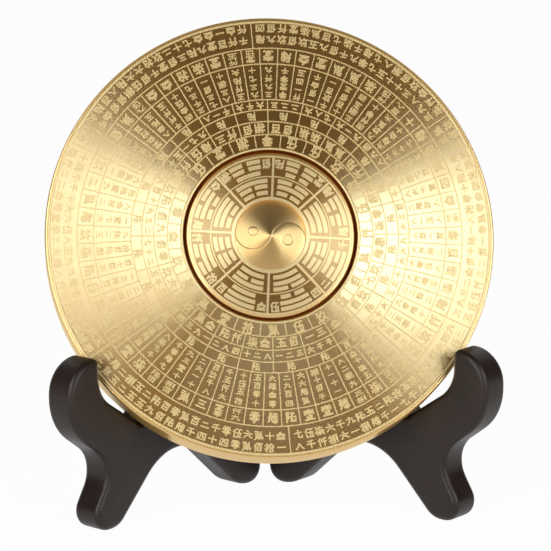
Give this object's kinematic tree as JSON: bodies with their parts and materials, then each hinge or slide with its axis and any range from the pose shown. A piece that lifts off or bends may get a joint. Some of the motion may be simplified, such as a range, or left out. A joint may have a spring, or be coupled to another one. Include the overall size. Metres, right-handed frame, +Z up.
{
  "type": "feng shui compass",
  "caption": "Round turned brass feng shui compass disc with a dial that turns in its middle, leaning on a dark folding plate stand.",
  "frame": {"origin": "on the table, under the middle of the whole object's bounding box, with the stand open and the disc in it", "axes": "+Z up from the table, -Y towards the viewer who reads the disc, +X to that viewer's right"},
  "size_m": [0.12, 0.0656, 0.1302],
  "materials": {
    "turned_brass": "turned in fine circles, satin",
    "bearing_steel": "ground and polished",
    "cage_bronze": "pressed bronze",
    "zinc_plated_steel": "bright zinc plating",
    "dark_moulded_plastic": "moulded, satin"
  },
  "bodies": {
    "hinge": {"hinge_pin": "zinc_plated_steel"},
    "left_leg_body": {"left_leg": "dark_moulded_plastic"},
    "right_leg_body": {"right_leg": "dark_moulded_plastic"},
    "plate": {"outer_plate": "turned_brass", "bearing_outer_ring": "bearing_steel", "bearing_shield_front": "bearing_steel", "bearing_shield_rear": "bearing_steel", "back_cover": "turned_brass"},
    "dial": {"inner_dial": "turned_brass", "bearing_inner_ring": "bearing_steel", "hub_screw": "zinc_plated_steel"},
    "cage": {"bearing_cage": "cage_bronze", "bearing_ball_1": "bearing_steel", "bearing_ball_2": "bearing_steel", "bearing_ball_3": "bearing_steel", "bearing_ball_4": "bearing_steel", "bearing_ball_5": "bearing_steel", "bearing_ball_6": "bearing_steel", "bearing_ball_7": "bearing_steel", "bearing_ball_8": "bearing_steel", "bearing_ball_9": "bearing_steel"}
  },
  "joints": [
    {"name": "plate_lift", "type": "slide", "parent": "hinge", "child": "plate", "axis": [0, 0, 1], "range_m": [0, 0.12]},
    {"name": "left_leg_fold", "type": "hinge", "parent": "hinge", "child": "left_leg_body", "pos_m": [0, 0.02043, 0], "axis": [0, 0, 1], "range_deg": [0, 45]},
    {"name": "right_leg_fold", "type": "hinge", "parent": "hinge", "child": "right_leg_body", "pos_m": [0, 0.02043, 0], "axis": [0, 0, 1], "range_deg": [-45, 0]},
    {"name": "dial_spin", "type": "hinge", "parent": "plate", "child": "dial", "pos_m": [0, -0.00563, 0.07545], "axis": [0, -0.9171, 0.3987], "continuous": true},
    {"name": "cage_spin", "type": "hinge", "parent": "plate", "child": "cage", "pos_m": [0, -0.00563, 0.07545], "axis": [0, -0.9171, 0.3987], "continuous": true}
  ],
  "couplings": [
    {"joint": "left_leg_fold", "follows": "plate_lift", "rad_per_m": 6.54},
    {"joint": "right_leg_fold", "follows": "plate_lift", "rad_per_m": -6.54},
    {"joint": "cage_spin", "follows": "dial_spin", "ratio": 0.414}
  ]
}
